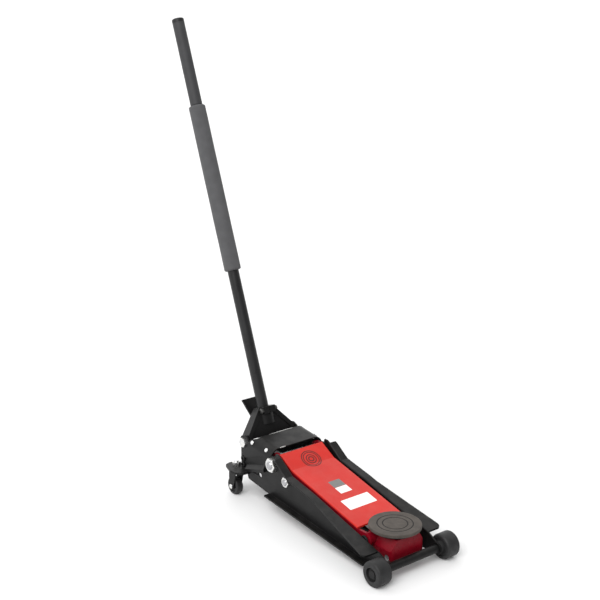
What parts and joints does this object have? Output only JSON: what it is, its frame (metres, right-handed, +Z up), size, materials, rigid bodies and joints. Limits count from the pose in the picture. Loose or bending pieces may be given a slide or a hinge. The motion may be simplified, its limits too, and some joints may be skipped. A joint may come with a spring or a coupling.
{
  "type": "hydraulic floor jack",
  "caption": "Low trolley jack with a pivoting lift arm, level turning saddle, hydraulic ram, pumping handle, front rollers and rear casters.",
  "frame": {"origin": "on the floor, under the middle of the jack's overall box with its handle at rest", "axes": "+X forward towards the saddle, +Y to the jack's left along the axles, +Z up"},
  "size_m": [0.963, 0.245, 1.1743],
  "materials": {
    "black_paint": "satin black powder coat",
    "red_paint": "gloss red powder coat",
    "zinc": "bright zinc plate",
    "steel": "bare turned steel",
    "chrome_rod": "hard chrome",
    "cast_red": "red painted casting",
    "cast_black": "black painted casting",
    "spring_steel": "oiled spring steel",
    "pad_rubber": "matte moulded rubber",
    "grip_rubber": "matte moulded rubber",
    "foam": "closed-cell foam",
    "wheel_plastic": "moulded nylon",
    "cap_plastic": "moulded plastic"
  },
  "bodies": {
    "frame": {"side_plate_right": "black_paint", "side_plate_left": "black_paint", "front_axle": "black_paint", "axle_caps": "black_paint", "main_pivot_shaft": "steel", "main_pivot_nuts": "zinc", "link_shaft": "steel", "link_shaft_nuts": "zinc", "link_spacers": "steel", "rear_cover": "black_paint", "cover_screws": "zinc", "pump_block": "cast_black", "frame_bolts": "black_paint", "reservoir_plugs": "zinc", "ram_cylinder": "black_paint", "cylinder_gland": "zinc", "return_springs": "spring_steel", "yoke_pivot_bolts": "zinc", "caster_plate_right": "black_paint", "caster_plate_left": "black_paint", "caster_king_pins": "zinc", "caster_bearing_rings": "zinc"},
    "lift_arm": {"lift_arm_top_plate": "red_paint", "lift_arm_side_right": "cast_red", "lift_arm_side_left": "cast_red", "lift_arm_bush": "steel", "lever_pin": "steel"},
    "saddle_carrier": {"saddle_carrier": "cast_red", "carrier_pins": "cast_black", "link_pin": "steel"},
    "link_rods": {"link_rod_right": "black_paint", "link_rod_left": "black_paint"},
    "saddle": {"saddle": "cast_black", "saddle_pad": "pad_rubber", "saddle_clip": "spring_steel"},
    "ram": {"ram_rod": "chrome_rod", "ram_head": "cast_black"},
    "yoke": {"handle_yoke": "black_paint", "yoke_front_plate": "black_paint", "roller_pin": "steel", "foot_pedal": "black_paint", "clamp_bolt": "spring_steel"},
    "roller": {"pump_roller": "steel"},
    "handle": {"handle_lower_tube": "black_paint", "handle_upper_tube": "black_paint", "foam_sleeve": "foam", "hand_grip": "grip_rubber", "handle_end_cap": "cap_plastic", "drive_shaft": "steel"},
    "release_valve": {"release_spindle": "steel"},
    "plunger": {"pump_plunger": "steel", "plunger_spring": "spring_steel"},
    "front_wheel_right": {"front_wheel_right": "wheel_plastic"},
    "front_wheel_left": {"front_wheel_left": "wheel_plastic"},
    "caster_swivel_right": {"caster_fork_right": "black_paint", "caster_axle_right": "zinc"},
    "caster_swivel_left": {"caster_fork_left": "black_paint", "caster_axle_left": "zinc"},
    "caster_wheel_right": {"caster_wheel_right": "wheel_plastic"},
    "caster_wheel_left": {"caster_wheel_left": "wheel_plastic"}
  },
  "joints": [
    {"name": "lift_arm_pivot", "type": "hinge", "parent": "frame", "child": "lift_arm", "pos_m": [0.03694, 0, 0.132], "axis": [0, -1, 0], "range_deg": [0, 60]},
    {"name": "saddle_carrier_level", "type": "hinge", "parent": "lift_arm", "child": "saddle_carrier", "pos_m": [0.36694, 0, 0.061], "axis": [0, -1, 0], "range_deg": [-61, 1]},
    {"name": "link_rod_pivot", "type": "hinge", "parent": "frame", "child": "link_rods", "pos_m": [0.09194, 0, 0.106], "axis": [0, -1, 0], "range_deg": [-1, 61]},
    {"name": "ram_slide", "type": "slide", "parent": "frame", "child": "ram", "axis": [1, 0, 0], "range_m": [-0.0005, 0.0505]},
    {"name": "saddle_turn", "type": "hinge", "parent": "saddle_carrier", "child": "saddle", "pos_m": [0.39294, 0, 0.078], "axis": [0, 0, 1], "continuous": true},
    {"name": "handle_pump", "type": "hinge", "parent": "frame", "child": "yoke", "pos_m": [-0.08506, 0, 0.15], "axis": [0, -1, 0], "range_deg": [-20, 50], "stiffness_Nm_per_rad": 60, "springref_deg": -4.58},
    {"name": "pump_plunger_slide", "type": "slide", "parent": "frame", "child": "plunger", "axis": [0, 0, 1], "range_m": [-0.0236, 0.0098], "deforming": ["plunger_spring"]},
    {"name": "roller_spin", "type": "hinge", "parent": "yoke", "child": "roller", "pos_m": [-0.11213, 0, 0.15726], "axis": [0, 1, 0], "continuous": true},
    {"name": "handle_twist", "type": "hinge", "parent": "yoke", "child": "handle", "pos_m": [-0.08506, 0, 0.15], "axis": [-0.351, 0, 0.9364], "range_deg": [0, 180]},
    {"name": "release_valve_turn", "type": "hinge", "parent": "frame", "child": "release_valve", "pos_m": [-0.08506, 0, 0.12], "axis": [0, 0, 1], "range_deg": [-1, 181]},
    {"name": "front_wheel_right_roll", "type": "hinge", "parent": "frame", "child": "front_wheel_right", "pos_m": [0.45194, -0.10375, 0.03], "axis": [0, 1, 0], "continuous": true},
    {"name": "caster_right_swivel", "type": "hinge", "parent": "frame", "child": "caster_swivel_right", "pos_m": [-0.11306, -0.084, 0.069], "axis": [0, 0, 1], "continuous": true},
    {"name": "caster_right_roll", "type": "hinge", "parent": "caster_swivel_right", "child": "caster_wheel_right", "pos_m": [-0.11806, -0.084, 0.0225], "axis": [0, 1, 0], "continuous": true},
    {"name": "front_wheel_left_roll", "type": "hinge", "parent": "frame", "child": "front_wheel_left", "pos_m": [0.45194, 0.10375, 0.03], "axis": [0, 1, 0], "continuous": true},
    {"name": "caster_left_swivel", "type": "hinge", "parent": "frame", "child": "caster_swivel_left", "pos_m": [-0.11306, 0.084, 0.069], "axis": [0, 0, 1], "continuous": true},
    {"name": "caster_left_roll", "type": "hinge", "parent": "caster_swivel_left", "child": "caster_wheel_left", "pos_m": [-0.11806, 0.084, 0.0225], "axis": [0, 1, 0], "continuous": true}
  ],
  "couplings": [
    {"joint": "saddle_carrier_level", "follows": "lift_arm_pivot", "ratio": -1},
    {"joint": "link_rod_pivot", "follows": "lift_arm_pivot", "ratio": 1},
    {"joint": "ram_slide", "follows": "lift_arm_pivot", "m_per_rad": 0.047746},
    {"joint": "pump_plunger_slide", "follows": "handle_pump", "m_per_rad": -0.02629},
    {"joint": "release_valve_turn", "follows": "handle_twist", "ratio": 1}
  ]
}
